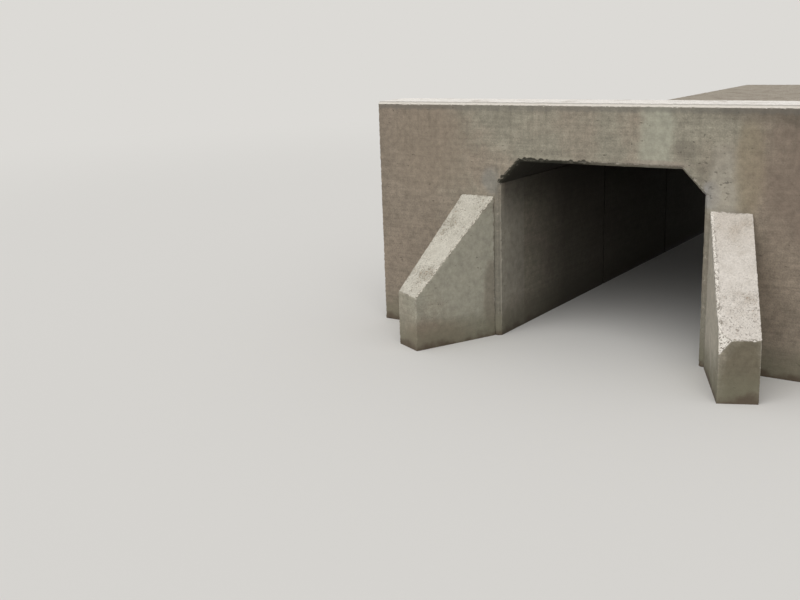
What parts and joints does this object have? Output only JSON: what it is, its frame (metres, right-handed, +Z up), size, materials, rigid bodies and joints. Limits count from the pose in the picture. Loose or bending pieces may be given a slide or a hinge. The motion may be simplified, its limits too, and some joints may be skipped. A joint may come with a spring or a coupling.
{
  "type": "culvert headwall",
  "caption": "Cast concrete culvert headwall with a haunched square mouth, flared sloping wing walls and a jointed box barrel behind.",
  "frame": {"origin": "middle of the footprint at floor level, which is the water line at the walls", "axes": "+X to the right as seen from in front of the mouth, +Y into the barrel, +Z up"},
  "size_m": [4.42, 8.4804, 2.105],
  "materials": {
    "headwall_concrete": "matte",
    "wing_concrete": "matte",
    "barrel_concrete": "matte",
    "joint_board": "matte"
  },
  "bodies": {
    "root": {"headwall_upper": "headwall_concrete", "headwall_left": "headwall_concrete", "headwall_right": "headwall_concrete", "wing_left": "wing_concrete", "wing_right": "wing_concrete", "wing_joint_left": "joint_board", "wing_joint_right": "joint_board", "bay_1_wall_left": "barrel_concrete", "bay_1_wall_right": "barrel_concrete", "bay_1_roof": "barrel_concrete", "bay_2_wall_left": "barrel_concrete", "bay_2_wall_right": "barrel_concrete", "bay_2_roof": "barrel_concrete", "bay_3_wall_left": "barrel_concrete", "bay_3_wall_right": "barrel_concrete", "bay_3_roof": "barrel_concrete", "bay_4_wall_left": "barrel_concrete", "bay_4_wall_right": "barrel_concrete", "bay_4_roof": "barrel_concrete", "joint_1_board_left": "joint_board", "joint_1_board_right": "joint_board", "joint_1_board_roof": "joint_board", "joint_2_board_left": "joint_board", "joint_2_board_right": "joint_board", "joint_2_board_roof": "joint_board", "joint_3_board_left": "joint_board", "joint_3_board_right": "joint_board", "joint_3_board_roof": "joint_board"}
  },
  "joints": []
}
